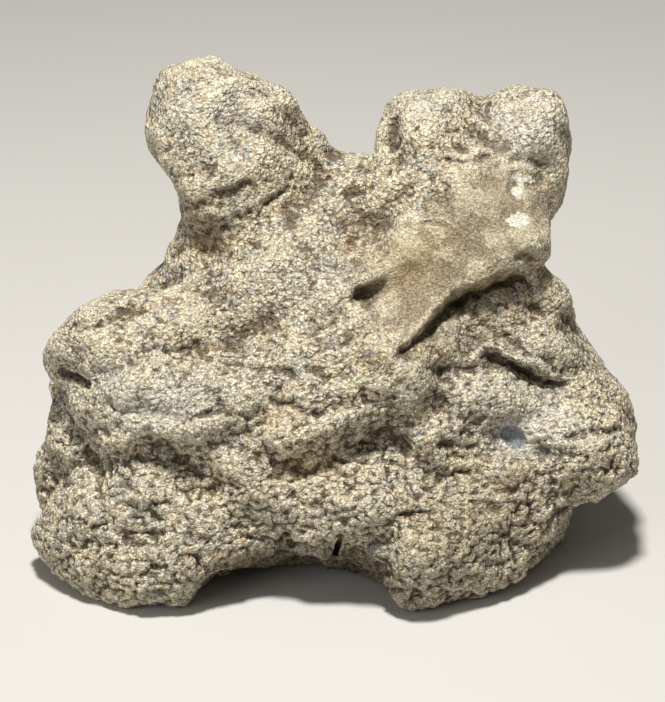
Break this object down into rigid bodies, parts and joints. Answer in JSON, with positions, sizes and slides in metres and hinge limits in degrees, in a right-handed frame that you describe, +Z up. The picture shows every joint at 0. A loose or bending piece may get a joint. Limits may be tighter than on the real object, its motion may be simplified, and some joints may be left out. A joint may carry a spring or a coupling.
{
  "type": "fossil footprint cast",
  "caption": "Natural sandstone cast of a dinosaur footprint, with knobbed toes, undercut ledges and an arched lower edge, standing on its worn rim.",
  "frame": {"origin": "centre of the bounding box's bottom face, on the ground the cast stands on", "axes": "+X from the single-knobbed side to the side with two knobs, seen from the front; +Y away from the viewer, from the sole to the back; +Z up"},
  "size_m": [0.3119, 0.2166, 0.2404],
  "materials": {
    "sandstone": "matte"
  },
  "bodies": {
    "root": {"footprint_cast": "sandstone"}
  },
  "joints": []
}
